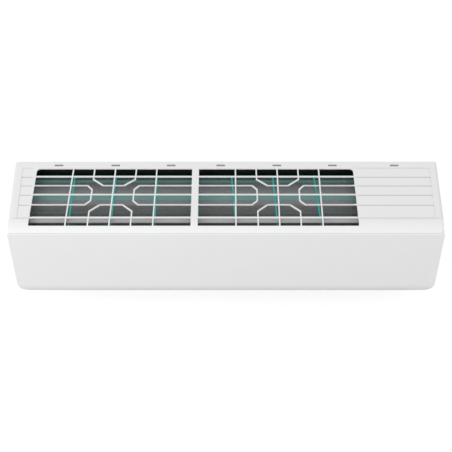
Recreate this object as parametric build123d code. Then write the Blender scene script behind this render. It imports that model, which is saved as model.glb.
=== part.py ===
from build123d import *
import os
from math import acos, atan2, cos, degrees, hypot, pi, radians, sin, tan

# Wall-hung indoor unit of a mini split air conditioner, in millimetres.
# X runs along the unit, +Y points at the wall, +Z is up, and the origin is the middle of the
# wall plate's rear face. A side-view point is written (forward, drop): how far it stands out
# from the wall, and how far it lies below the flat top of the casing.

os.makedirs("parts", exist_ok=True)

# ---- driving sizes: outer form ------------------------------------------------------------
case_width = 837.0
case_height = 288.5
case_wall = 2.5
flat_top = 153.2          # wall to the start of the rounded shoulder
shoulder_radius = 31.4
side_round = 7.0
panel_top_forward = 181.0
panel_seam_drop = 12.3
panel_lean = radians(5)
panel_straight = 171.3    # fall of the flat face before it curves under
panel_curve = 65.0
panel_thickness = 2.5
return_thickness = 2.0
curl_middle = 206.0       # drop where the curl is parted into two solids
panel_gap = 0.6
panel_overhang = 0.5      # each side, past the casing
mouth_angle = radians(50)   # the outlet looks this far below the horizontal
corner_rise = 26.0        # rounding of the lower side corners, seen along the outlet slope
corner_reach = 45.0
clearance = 0.3

# ---- driving sizes: inlet grille ----------------------------------------------------------
bay_back = 19.3           # wall to the back edge of the inlet bays
bay_front = 166.5
left_bay = ((-373.5, -379.0), (-66.8, -67.9))   # each side's station at the back and at the front
right_bay = ((-53.3, -54.3), (251.0, 254.7))
left_ribs = ((-301.2, -308.5), (-218.2, -224.3), (-136.5, -140.5))
right_ribs = ((18.6, 19.2), (100.8, 103.0), (182.9, 186.0))
bay_corner = 8.0
bar_forwards = (40.2, 63.5, 87.8, 113.8, 147.4)
bar_widths = (2.4, 2.4, 2.4, 2.8, 3.2)
bar_fall = 1.2            # bars two and four slope back by this much
rib_width = 2.5
octagon_half = 41.2       # half width of the octagon in the middle of each bay
octagon_inner = 21.0      # where its slanting sides meet bars two and four
octagon_outer = 51.0
octagon_back = 47.6
octagon_front = 131.4
octagon_waist = (74.8, 104.2)
blank_edge = 402.5
strip_fall = 0.8          # the blank ends lie this far below the bars
groove_width = 1.1
groove_depth = 0.9
front_line_edge = 412.0   # the foremost groove runs further out
hook_slot_stations = (-331.0, -218.6, -108.6, -10.5, 100.7, 211.0, 333.5)
hook_slot_width = 16.8
hook_slot_depth = 5.0
hook_slot_forward = 10.4
ledge_drop = 16.0
ledge_span = (138.0, 147.0)

# ---- driving sizes: hinge, casing screws --------------------------------------------------
arm_stations = (-390.0, 390.0)
arm_width = 5.0
arm_half = 2.0            # half thickness of the gooseneck
knuckle_radius = 4.6
hinge_pin = 2.0
hinge_pin_reach = 12.0    # from the middle of the arm
cap_stations = (-250.0, 0.0, 250.0)
cap_forward = 45.0
cap_radius = 7.0
cap_thickness = 1.0
screw_radius = 1.6
screw_head_radius = 3.4
screw_head_height = 1.0

# ---- driving sizes: air side --------------------------------------------------------------
duct_left = -376.0
duct_right = 252.0
end_wall = 3.0
fan_forward = 80.0
fan_drop = 143.0
fan_radius = 45.0
fan_gap = 6.0
slab_thickness = 22.0
coil_inset = 4.0          # duct end to the fins
tube_radius = 3.5
coil_end_gauge = 1.2
louver_start = 5.0        # along the outlet slope, from the panel's lower edge
louver_end = 86.0
louver_half = 375.0
louver_depth = 5.0
louver_gap = 1.0
louver_pivot = (76.0, 10.0)
louver_pin = 3.0
louver_sweep = 14.5       # room round the pivot for the louver's rear edge
pin_play = 0.06
vane_count = 10
vane_pitch = 62.0
vane_first = -341.0
vane_thickness = 1.6
vane_axis_inside = 40.0
vane_span = (8.0, 79.0)   # along the outlet slope
vane_chord = (25.0, 52.0)
vane_seat = 85.0
link_offset = 12.0
link_along = (65.0, 68.0)
crank_station = -310.0

# ---- driving sizes: housing, motor, electrics ---------------------------------------------
back_gap = 4.0            # wall to the housing's back
housing_wall = 2.5
housing_half = 411.0
motor_radius = 42.0
motor_span = (268.0, 326.0)
motor_boss_radius = 18.0
motor_boss_length = 8.0
motor_ring_radius = 22.0
clamp_face = 126.0        # front of the motor clamp, where the control box rests
shaft_radius = 5.0
bearing_radius = 15.0
bearing_length = 10.0
stub_radius = 4.0
box_left = 268.0
box_right = 384.0
box_drops = (24.0, 170.0)
box_forwards = (128.0, 158.0)
box_wall = 2.0
box_arm_stations = (290.0, 350.0)
board_face = 137.6
button_station = 360.0
button_drop = 193.0
button_radius = 3.5
button_forwards = (142.6, 152.6)
button_access = 8.0       # radius of the hole that a fingertip reaches through
display_span = (320.0, 390.0)
display_forwards = (144.0, 152.0)
display_drops = (184.0, 202.0)
plate_gauge = 1.2
plate_half = 370.0
plate_top = 25.0
plate_low_edge = 30.0     # plate's lower edge to the unit's underside
plate_screw_radius = 2.75
plate_outer_pitch = 600.0
plate_inner_pitch = 240.0
plate_rows_pitch = 120.0
suction_radius = 4.76
liquid_radius = 3.175
suction_thread = 7.94
liquid_thread = 5.55
spigot_radius = 8.0
spigot_bore = 6.0

# ---- derived places -----------------------------------------------------------------------
top_z = case_height / 2
case_half = case_width / 2
panel_half = case_half + panel_overhang
face_end = (panel_top_forward - tan(panel_lean) * panel_straight, panel_seam_drop + panel_straight)
curve_centre = (face_end[0] - panel_curve * cos(panel_lean), face_end[1] - panel_curve * sin(panel_lean))
mouth_start = (
    curve_centre[0] + panel_curve * cos(mouth_angle),
    curve_centre[1] + panel_curve * sin(mouth_angle),
)
hinge = (flat_top + 7.8, 9.5)


def mouth(along, inside):
    """(forward, drop) of a point along the outlet slope and inside it."""
    forward = mouth_start[0] - sin(mouth_angle) * along - cos(mouth_angle) * inside
    drop = mouth_start[1] + cos(mouth_angle) * along - sin(mouth_angle) * inside
    return (forward, drop)


def around(centre, radius, below):
    """(forward, drop) on a circle, at an angle below the horizontal."""
    return (centre[0] + radius * cos(below), centre[1] + radius * sin(below))


def side(point):
    """A side-view point as (y, z)."""
    return (-point[0], top_z - point[1])


def at(x, point):
    """A station along X and a side-view point as a position in space."""
    return Pos(x, -point[0], top_z - point[1])


def prism(outline, left, right):
    """Closed side-view outline carried from one station along X to another."""
    face = make_face(Plane.YZ * outline)
    return Pos(left, 0, 0) * extrude(face, amount=right - left, dir=(1, 0, 0))


def plate(points, left, right):
    """Prism of a side-view polygon."""
    return prism(Polyline(*[side(p) for p in points], close=True), left, right)


def block(left, right, forwards, drops):
    """Box between two stations, two distances from the wall and two drops."""
    size = (right - left, abs(forwards[1] - forwards[0]), abs(drops[1] - drops[0]))
    middle = ((forwards[0] + forwards[1]) / 2, (drops[0] + drops[1]) / 2)
    return at((left + right) / 2, middle) * Box(*size)


def rod(left, right, point, radius):
    """Cylinder along X."""
    middle = at((left + right) / 2, point)
    return middle * Rot(0, 90, 0) * Cylinder(radius, right - left)


def upright(x, forward, drops, radius):
    """Upright cylinder between two drops."""
    middle = at(x, (forward, (drops[0] + drops[1]) / 2))
    return middle * Cylinder(radius, drops[1] - drops[0])


def shifted(points, amount):
    """Side-view polyline moved sideways by an amount, with mitred corners."""
    moved = []
    for i, point in enumerate(points):
        normals = []
        for j in (i - 1, i):
            if 0 <= j < len(points) - 1:
                run = Vector(*points[j + 1]) - Vector(*points[j])
                normals.append(Vector(-run.Y, run.X).normalized())
        bisector = sum(normals[1:], normals[0]).normalized()
        reach = amount / bisector.dot(normals[0])
        moved.append((point[0] + bisector.X * reach, point[1] + bisector.Y * reach))
    return moved


def eased(points, bends, amount):
    """Bend radii of a polyline that is moved sideways, so that its bends stay concentric."""
    radii = []
    for i, bend in enumerate(bends, start=1):
        before = Vector(*points[i]) - Vector(*points[i - 1])
        after = Vector(*points[i + 1]) - Vector(*points[i])
        towards = before.X * after.Y > before.Y * after.X
        radii.append(bend - amount if towards else bend + amount)
    return radii


def bent_strip(points, bends, inner, outer, left, right):
    """Sheet that follows a rounded side-view polyline, between two sideways offsets."""
    near = [side(p) for p in shifted(points, inner)]
    far = [side(p) for p in shifted(points, outer)]
    near_line = FilletPolyline(*near, radius=eased(points, bends, inner))
    far_line = FilletPolyline(*far, radius=eased(points, bends, outer))
    ends = Line(near[0], far[0]) + Line(near[-1], far[-1])
    return prism(near_line + far_line + ends, left, right)


def joined(pieces):
    """Every piece fused into one."""
    whole = pieces[0]
    for piece in pieces[1:]:
        whole = whole + piece
    return whole


def outlet_frame():
    """Frame with X along the unit, Y along the outlet slope and Z into the outlet."""
    inward = (0, cos(mouth_angle), sin(mouth_angle))
    origin = (0, -mouth_start[0], top_z - mouth_start[1])
    return Plane(origin=origin, x_dir=(1, 0, 0), z_dir=inward)


outlet = outlet_frame()


def slope_block(xs, alongs, insides):
    """Box in the outlet's own frame."""
    size = (xs[1] - xs[0], alongs[1] - alongs[0], insides[1] - insides[0])
    middle = ((xs[0] + xs[1]) / 2, (alongs[0] + alongs[1]) / 2, (insides[0] + insides[1]) / 2)
    return outlet * (Pos(*middle) * Box(*size))


def slope_pin(x, inside, alongs, radius):
    """Pin that runs along the outlet slope."""
    middle = (alongs[0] + alongs[1]) / 2
    return outlet * (Pos(x, middle, inside) * Rot(90, 0, 0) * Cylinder(radius, alongs[1] - alongs[0]))


# ---- casing and panel ---------------------------------------------------------------------
def front_line(drop, inset):
    """Distance from the wall of the leaning front at a drop, inset from the panel's face."""
    lean_back = tan(panel_lean) * (drop - panel_seam_drop)
    return panel_top_forward - lean_back - inset / cos(panel_lean)


def case_outline(inset):
    """Side view of the casing, inset all round by a wall."""
    front_inset = panel_thickness + panel_gap + inset
    radius = shoulder_radius - inset
    centre = (flat_top, shoulder_radius)
    reach = (front_line(shoulder_radius, front_inset) - flat_top) * cos(panel_lean)
    rise = acos(reach / radius) - panel_lean
    shoulder_end = around(centre, radius, -rise)
    shoulder_mid = around(centre, radius, -(rise + pi / 2) / 2)
    curve = panel_curve - front_inset
    curve_start = around(curve_centre, curve, panel_lean)
    curve_mid = around(curve_centre, curve, (panel_lean + mouth_angle) / 2)
    curve_end = around(curve_centre, curve, mouth_angle)
    lip_inside = front_inset if inset == 0 else inset
    lip_low = mouth(panel_gap + inset, lip_inside)
    lip_high = mouth(panel_gap + inset, inset)
    slope_end = (case_height - inset - mouth_start[1] + sin(mouth_angle) * inset) / cos(mouth_angle)
    heel = mouth(slope_end, inset)
    back = inset and -1.0
    top_line = Line(side((back, inset)), side((flat_top, inset)))
    shoulder = ThreePointArc(side((flat_top, inset)), side(shoulder_mid), side(shoulder_end))
    front = Line(side(shoulder_end), side(curve_start))
    curl = ThreePointArc(side(curve_start), side(curve_mid), side(curve_end))
    lip = [lip_high] if inset else [lip_low, lip_high]
    rest = [curve_end] + lip + [heel, (back, case_height - inset), (back, inset)]
    return top_line + shoulder + front + curl + Polyline(*[side(p) for p in rest])


def corner_mask(half, lift):
    """Body whose lower side corners are rounded, seen along the outlet slope."""
    right = [(half, 400), (half, corner_rise + lift)]
    sweep = Bezier(
        (half, corner_rise + lift),
        (half, corner_rise * 0.22 + lift),
        (half - corner_reach * 0.22, lift + corner_rise * 0.03),
        (half - corner_reach, lift),
    )
    mirrored = Bezier(
        (-half, corner_rise + lift),
        (-half, corner_rise * 0.22 + lift),
        (-half + corner_reach * 0.22, lift + corner_rise * 0.03),
        (-half + corner_reach, lift),
    )
    floor = Line((half - corner_reach, lift), (-half + corner_reach, lift))
    sides = Line(*right) + Line((half, 400), (-half, 400)) + Line((-half, 400), (-half, corner_rise + lift))
    section = Plane(origin=outlet.origin, x_dir=(1, 0, 0), z_dir=(0, -sin(mouth_angle), cos(mouth_angle)))
    face = make_face(section * (sides + sweep + floor + mirrored))
    return extrude(face, amount=400, both=True)


def slant(line, forward):
    """Station of a slanting line at a distance from the wall."""
    return line[0] + (line[1] - line[0]) * (forward - bay_back) / (bay_front - bay_back)


def grille_cells(bay, ribs):
    """Plan of one bay's air gaps: the bay, less its bars, ribs and octagon."""
    left, right = bay
    corners = [(left[0], bay_back), (right[0], bay_back), (right[1], bay_front), (left[1], bay_front)]
    plan = make_face(Polyline(*[(x, -forward) for x, forward in corners], close=True))
    outer_corner = plan.vertices().group_by(Axis.Y)[-1].sort_by(lambda v: abs(v.X))[-1]
    plan = fillet(outer_corner, bay_corner)

    def strut(start, end, width):
        """Straight member between two plan points, given as (x, forward)."""
        run = (end[0] - start[0], start[1] - end[1])
        length = hypot(*run)
        turn = degrees(atan2(run[1], run[0]))
        middle = Pos((start[0] + end[0]) / 2, -(start[1] + end[1]) / 2)
        return middle * Rot(0, 0, turn) * Rectangle(length + width * 0.5, width)

    def beside(offset, forward):
        """Plan point beside the middle rib."""
        return (slant(ribs[1], forward) + offset, forward)

    members = []
    ends = (left[1] - 4, right[1] + 4)
    for i, forward in enumerate(bar_forwards):
        centre = slant(ribs[1], forward)
        spans = [ends]
        if i in (1, 3):
            spans = [(ends[0], centre - octagon_outer), (centre + octagon_outer, ends[1])]
            spans.append((centre - octagon_inner, centre + octagon_inner))
        for span in spans:
            members.append(strut((span[0], forward), (span[1], forward), bar_widths[i]))
    for rib in ribs:
        members.append(strut((rib[0], bay_back), (rib[1], bay_front), rib_width))
    for way in (-1, 1):
        edge = way * octagon_half
        inner = way * octagon_inner
        outer = way * octagon_outer
        runs = (
            (beside(edge, bay_back - 2), beside(edge, octagon_back)),
            (beside(edge, octagon_back), beside(inner, bar_forwards[1])),
            (beside(edge, octagon_front), beside(edge, bay_front + 2)),
            (beside(edge, octagon_front), beside(inner, bar_forwards[3])),
            (beside(outer, bar_forwards[1]), beside(edge, octagon_waist[0])),
            (beside(edge, octagon_waist[0]), beside(edge, octagon_waist[1])),
            (beside(edge, octagon_waist[1]), beside(outer, bar_forwards[3])),
        )
        members.extend(strut(start, end, rib_width) for start, end in runs)
    for member in members:
        plan = plan - member
    return plan


def front_casing():
    """Moulded shell: flat top with the inlet grille, sides, front frame and outlet surround."""
    body = prism(case_outline(0), -case_half, case_half)
    end_edges = body.edges().filter_by(lambda e: abs(abs(e.center().X) - case_half) < 1)
    long_way = end_edges.filter_by(lambda e: e.center().Z > -10 and e.center().Y < -20)
    body = fillet(long_way, side_round)
    body = body & corner_mask(case_half, 0)
    hollow = prism(case_outline(case_wall), -case_half + case_wall, case_half - case_wall)
    hollow = hollow & corner_mask(case_half - case_wall, case_wall)
    body = body - hollow
    blanks = ((-blank_edge, left_bay[0][0]), (right_bay[1][0], blank_edge))
    for left, right in blanks:
        body = body - block(left, right, (bay_back - 2, bar_forwards[-1]), (-1, strip_fall))
    for bay, ribs in ((left_bay, left_ribs), (right_bay, right_ribs)):
        body = body - Pos(0, 0, top_z - 12) * extrude(grille_cells(bay, ribs), amount=20)
    for x in hook_slot_stations:
        half = hook_slot_width / 2
        depth = hook_slot_depth / 2
        forwards = (hook_slot_forward - depth, hook_slot_forward + depth)
        body = body - block(x - half, x + half, forwards, (-5, 6))
    grooves = [forward + width / 2 for forward, width in zip(bar_forwards, bar_widths)]
    for groove in grooves:
        reach = front_line_edge if groove == grooves[-1] else blank_edge
        for left, right in ((-reach, left_bay[0][0]), (right_bay[1][0], reach)):
            body = body - block(left, right, (groove, groove + groove_width), (-1, strip_fall + groove_depth))
    for bar in (1, 3):
        near = bar_forwards[bar] - bar_widths[bar] / 2
        wedge = [(near - 0.1, -1), (near - 0.1, bar_fall), (near + bar_widths[bar] + 0.1, 0), (near + 9, -1)]
        for bay in (left_bay, right_bay):
            body = body - plate(wedge, bay[0][1] + 2, bay[1][0] - 2)
    side_cut = case_half - 22
    window_drops = (panel_seam_drop + 5.8, 180.0)
    for span in ((-side_cut, -67.0), (-53.0, 263.0), (268.0, side_cut)):
        body = body - block(span[0], span[1], (150, 200), window_drops)
    opening = louver_half + 1.5
    slot = slope_block((-opening, opening), (louver_start - louver_gap, louver_end + louver_gap), (-5, 8))
    body = body - slot
    return_depth = 10.0 + clearance
    for way in (-1, 1):
        keep = panel_half - 2.0 - clearance
        span = sorted((way * keep, way * (keep + 10)))
        rebate = bent_strip(panel_path(16.0), [panel_curve - 4], -1.0, return_depth, span[0], span[1])
        body = body - rebate
    for ear in hinge_ears():
        body = body + ear
    ledge_middle = (ledge_span[0] + ledge_span[1]) / 2
    for bay, ribs in ((left_bay, left_ribs), (right_bay, right_ribs)):
        left, right = (slant(line, ledge_middle) for line in bay)
        body = body + block(left - 1.3, right + 1.3, ledge_span, (ledge_drop, ledge_drop + 1.6))
        webs = [slant(rib, ledge_middle) for rib in ribs]
        for x in [left - 0.5] + webs + [right + 0.5]:
            body = body + block(x - 0.8, x + 0.8, ledge_span, (case_wall - 0.5, ledge_drop + 0.5))
    for left, right in guide_spans:
        for forward, drop in guide_feet:
            body = body + block(left, right, (forward, forward + 4.0), (case_wall - 1.0, drop))
    button_hole = at(button_station, (button_forwards[1], button_drop)) * Rot(90, 0, 0)
    body = body - button_hole * Cylinder(button_access, 24.0)
    head_top = case_height - cap_thickness - screw_head_height
    for x in cap_stations:
        body = body - at(x, (cap_forward, case_height)) * Cylinder(screw_radius + clearance, 10)
        body = body - upright(x, cap_forward, (head_top, case_height), screw_head_radius + 0.2)
        body = body - upright(x, cap_forward, (case_height - cap_thickness, case_height), cap_radius + 0.1)
    return body


def panel_path(top):
    """The panel's outer face from a drop down, as a side-view polyline with one rounded corner."""
    start = (front_line(top, 0), top)
    corner = curve_corner()
    end = mouth_start
    return [start, corner, end]


def curve_corner():
    """Where the panel's straight face and the outlet slope would meet."""
    turn = (mouth_angle - panel_lean) / 2
    run = panel_curve * tan(turn)
    return (face_end[0] - sin(panel_lean) * run, face_end[1] + cos(panel_lean) * run)


def panel_outline(inset):
    """Side view of the panel's skin boundary at an inset."""
    top = (front_line(panel_seam_drop, inset), panel_seam_drop)
    start = around(curve_centre, panel_curve - inset, panel_lean)
    middle = around(curve_centre, panel_curve - inset, (panel_lean + mouth_angle) / 2)
    end = around(curve_centre, panel_curve - inset, mouth_angle)
    line = Line(side(top), side(start))
    return line + ThreePointArc(side(start), side(middle), side(end)), top, end


def front_panel():
    """Curved cover: skin, side returns, and gooseneck hinge arms that hook under the shoulder.

    The one moulding is made as solids that meet face to face: straight skin, curl, ends and arms.
    """
    outer, top_outer, end_outer = panel_outline(0)
    inner, top_inner, end_inner = panel_outline(panel_thickness)
    ends = Line(side(top_outer), side(top_inner)) + Line(side(end_outer), side(end_inner))
    skin = prism(outer + inner + ends, -panel_half, panel_half)
    returns = []
    for way in (-1, 1):
        span = sorted((way * panel_half, way * (panel_half - return_thickness)))
        returns.append(bent_strip(panel_path(26.0), [panel_curve - 4], 0.0, 10.0, span[0], span[1]))
    skin = joined([skin] + returns)
    skin = skin & corner_mask(panel_half, 0)
    edges = skin.edges().filter_by(Axis.X).filter_by(lambda e: e.length > case_width - 2)
    rim = edges.sort_by(lambda e: -abs(e.center().Y))[0]
    skin = fillet(rim, 0.8)
    inside = panel_half - return_thickness
    straight_end = panel_seam_drop + panel_straight
    bands = ((0, straight_end), (straight_end, curl_middle), (curl_middle, case_height))
    pieces = [skin & block(-inside, inside, (0, panel_top_forward), drops) for drops in bands]
    for span in ((-panel_half, -inside), (inside, panel_half)):
        pieces.append(skin & block(span[0], span[1], (0, panel_top_forward), (0, case_height)))
    for x in arm_stations:
        path = [
            (hinge[0], hinge[1]),
            (hinge[0] - 5.5, hinge[1] + 20.0),
            (front_line(34.0, panel_thickness) + 1.0, 34.0),
        ]
        arm = bent_strip(path, [6.0], -arm_half, arm_half, x - arm_width / 2, x + arm_width / 2)
        arm = arm + rod(x - arm_width / 2, x + arm_width / 2, hinge, knuckle_radius)
        pin = sorted((x, x + hinge_pin_reach * (1 if x > 0 else -1)))
        pieces.append(arm - skin + rod(pin[0], pin[1], hinge, hinge_pin))
    return pieces


def hinge_ears():
    """Bearings moulded inside the casing's upper corners for the panel's pins."""
    ears = []
    for x in arm_stations:
        way = 1 if x > 0 else -1
        near = x + way * (arm_width / 2 + 0.8)
        span = sorted((near, way * (case_half - case_wall / 2)))
        ear = block(span[0], span[1], (flat_top + 0.5, hinge[0] + 12), (0.5, hinge[1] + 5.5))
        ear = ear & prism(case_outline(1.0), span[0], span[1])
        bore = sorted((near - way, x + way * (hinge_pin_reach + 1.0)))
        ears.append(ear - rod(bore[0], bore[1], hinge, hinge_pin + pin_play))
    return ears


# ---- filters ------------------------------------------------------------------------------
filter_path = [(20.0, 20.5), (136.0, 25.0), (165.0, 50.0), (155.6, 180.7)]
filter_bends = [30.0, 30.0]
filter_rail = 4.4
left_filter = (-386.0, -62.2)
right_filter = (-57.8, 262.0)
guide_spans = ((-386.0, -382.0), (-66.0, -62.4), (-57.6, -54.0), (258.2, 262.0))
guide_feet = ((30.0, 19.1), (98.0, 21.7))   # each guide's distance from the wall and its foot's drop
left_filter_ribs = ((-299.5, -305.0), (-218.0, -223.0), (-136.5, -138.0))
right_filter_ribs = ((11.0, 18.7), (92.5, 99.4), (174.0, 184.0))
filter_rear_rail = ((19.0, 22.5), (10.0, 30.0))     # (forwards, drops)
filter_front_rail = ((148.0, 170.0), (172.0, 182.0))
filter_layer = 1.2
mesh_gauge = 0.4


def filter_frame(span, ribs):
    """Teal frame: rails all round, ribs over the mesh front to back and under it across."""
    low = -filter_layer - mesh_gauge / 2
    high = filter_layer + mesh_gauge / 2
    pieces = []
    for left in (span[0], span[1] - filter_rail):
        pieces.append(bent_strip(filter_path, filter_bends, low, high, left, left + filter_rail))
    inner_left = span[0] + 1
    inner_right = span[1] - 1
    over = bent_strip(filter_path, filter_bends, low, -mesh_gauge / 2, inner_left, inner_right)
    for back, front in ribs:
        plan = [(back, filter_path[0][0] - 1), (front, filter_path[1][0]), (front, filter_path[2][0] + 5)]
        edge = [(x - 1.6, -forward) for x, forward in plan]
        edge = edge + [(x + 1.6, -forward) for x, forward in reversed(plan)]
        footprint = make_face(Polyline(*edge, close=True))
        pieces.append(over & extrude(footprint, amount=case_height, both=True))
    for forwards, drops in (filter_rear_rail, filter_front_rail):
        whole = bent_strip(filter_path, filter_bends, low, high, inner_left, inner_right)
        pieces.append(whole & block(inner_left, inner_right, forwards, drops))
    under = bent_strip(filter_path, filter_bends, mesh_gauge / 2, high, inner_left, inner_right)
    for forwards in ((31.3, 36.7), (72.4, 81.6), (112.0, 116.0)):
        pieces.append(under & block(inner_left, inner_right, forwards, (10, 48)))
    for drop in (62.0, 100.0, 138.0):
        pieces.append(under & block(inner_left, inner_right, (140, 175), (drop, drop + 5)))
    return joined(pieces)


def filter_mesh(span):
    """Fine net moulded into the frame, as one thin sheet inside its rails."""
    half = mesh_gauge / 2
    sheet = bent_strip(filter_path, filter_bends, -half, half, span[0] + filter_rail, span[1] - filter_rail)
    for forwards, drops in (filter_rear_rail, filter_front_rail):
        sheet = sheet - block(span[0], span[1], forwards, drops)
    return sheet


# ---- evaporator coil ----------------------------------------------------------------------
slab_inner = fan_radius + fan_gap
slab_tilts = {"rear": radians(48), "upper": radians(50)}
tube_rows = (5.8, 16.2)   # tube rows, measured through each slab from its inner face
tube_pitch = 20.0


def slab_point(slab, run, through):
    """Side-view point in a slab: how far down it, and how far out from its inner face."""
    if slab == "rear":
        tilt = slab_tilts[slab]
        out = (-sin(tilt), -cos(tilt))
        down = (-cos(tilt), sin(tilt))
    elif slab == "upper":
        tilt = slab_tilts[slab]
        out = (sin(tilt), -cos(tilt))
        down = (cos(tilt), sin(tilt))
    else:
        out = (1.0, 0.0)
        down = (0.0, 1.0)
    reach = slab_inner + through
    forward = fan_forward + out[0] * reach + down[0] * run
    return (forward, fan_drop + out[1] * reach + down[1] * run)


slab_runs = {"rear": (-56.0, 23.0), "upper": (-58.0, 5.0), "lower": (-26.0, 40.0)}
tube_counts = {"rear": 4, "upper": 3, "lower": 3}


def slab_outline(slab, grow):
    """Four corners of a slab, grown by a margin along its length."""
    start, end = slab_runs[slab]
    corners = []
    for run, through in ((start, 0), (start, 1), (end, 1), (end, 0)):
        swell = -grow if run == start else grow
        corners.append(slab_point(slab, run + swell, slab_thickness * through))
    return corners


def tube_runs(slab):
    """Places of the tubes along a slab, centred in it."""
    start, end = slab_runs[slab]
    middle = (start + end) / 2
    count = tube_counts[slab]
    return [middle + (i - (count - 1) / 2) * tube_pitch for i in range(count)]


coil_left = duct_left + coil_inset
coil_right = duct_right - coil_inset


def fin_pack(slab):
    """Stack of thin fins as one block, with the tube holes through it."""
    pack = plate(slab_outline(slab, 0), coil_left, coil_right)
    for run in tube_runs(slab):
        for through in tube_rows:
            hole = rod(coil_left - 1, coil_right + 1, slab_point(slab, run, through), tube_radius + pin_play)
            pack = pack - hole
    return pack


def coil_end_plates():
    """Steel plate at each end of the coil: one cheek for each slab, with a web between two."""
    webs = (
        (("rear", -55.0, 1.0), ("rear", -55.0, 12.0), ("upper", -57.0, 12.0), ("upper", -57.0, 1.0)),
        (("upper", 4.0, 4.0), ("upper", 4.0, 20.0), ("lower", -25.0, 20.0), ("lower", -25.0, 4.0)),
    )
    plates = []
    for left in (coil_left - coil_end_gauge, coil_right):
        right = left + coil_end_gauge
        cheeks = [plate(slab_outline(slab, -0.5), left, right) for slab in slab_runs]
        sheet = joined(cheeks + [plate([slab_point(*corner) for corner in web], left, right) for web in webs])
        for slab in slab_runs:
            for run in tube_runs(slab):
                for through in tube_rows:
                    point = slab_point(slab, run, through)
                    sheet = sheet - rod(left - 1, right + 1, point, tube_radius + pin_play)
        plates.append(sheet)
    return plates


def u_bend(x, first, second, way):
    """Half ring of tube that joins two parallel tubes, outside an end plate."""
    a = at(0, first).position
    b = at(0, second).position
    middle = (a + b) * 0.5
    half = (b - a).length / 2
    tip = middle + Vector(way * half, 0, 0) + Vector(x, 0, 0)
    path = ThreePointArc(a + Vector(x, 0, 0), tip, b + Vector(x, 0, 0))
    section = Plane(origin=a + Vector(x, 0, 0), z_dir=(way, 0, 0)) * Circle(tube_radius)
    return sweep(section, path=path)


def coil_tubes():
    """Copper hairpins: the two rows of each slab joined at the left, neighbours at the right."""
    hairpins = []
    left = coil_left - coil_end_gauge - 3
    right = coil_right + coil_end_gauge + 3
    for slab in slab_runs:
        for run in tube_runs(slab):
            pair = [slab_point(slab, run, through) for through in tube_rows]
            legs = [rod(left, right, point, tube_radius) for point in pair]
            hairpins.append(joined(legs + [u_bend(left, pair[0], pair[1], -1)]))
    return hairpins


def return_bends():
    """Copper return bends over the right ends of neighbouring tubes."""
    bends = []
    right = coil_right + coil_end_gauge + 3
    for slab in slab_runs:
        runs = tube_runs(slab)
        for i in range(len(runs) - 1):
            through = tube_rows[i % 2]
            first = slab_point(slab, runs[i], through)
            second = slab_point(slab, runs[i + 1], through)
            bends.append(u_bend(right, first, second, 1))
    return bends


# ---- rear housing -------------------------------------------------------------------------
scroll_path = [
    (31.0, 126.0), (23.0, 152.0), (24.0, 190.0), (35.0, 226.5), (50.8, 255.5), mouth(91.5, 3.0),
]
scroll_bends = [40.0, 60.0, 60.0, 40.0]
back_plane = back_gap + housing_wall
floor_low = case_height - case_wall - 0.6     # drops of the housing's floor
floor_high = floor_low - housing_wall
boss_drops = (floor_high - 19.4, floor_high + 0.6)
tongue_tip = (118.5, 176.5)
gutter_drops = (fan_drop - 3.0, fan_drop - 3.0 + housing_wall)


def duct_end(left, right):
    """End wall of the fan chamber and the duct."""
    disc = rod(left, right, (fan_forward, fan_drop), slab_inner - 1.0)
    under = [(31.0, 126.0), (23.0, 152.0), (24.0, 190.0), (35.0, 226.5), (50.8, 255.5)]
    lowest = louver_depth + 0.8
    under = under + [mouth(91.2, lowest), mouth(louver_start + 1, lowest), (116.0, 176.5), (80.0, 110.0)]
    return disc + plate(under, left, right)


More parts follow.
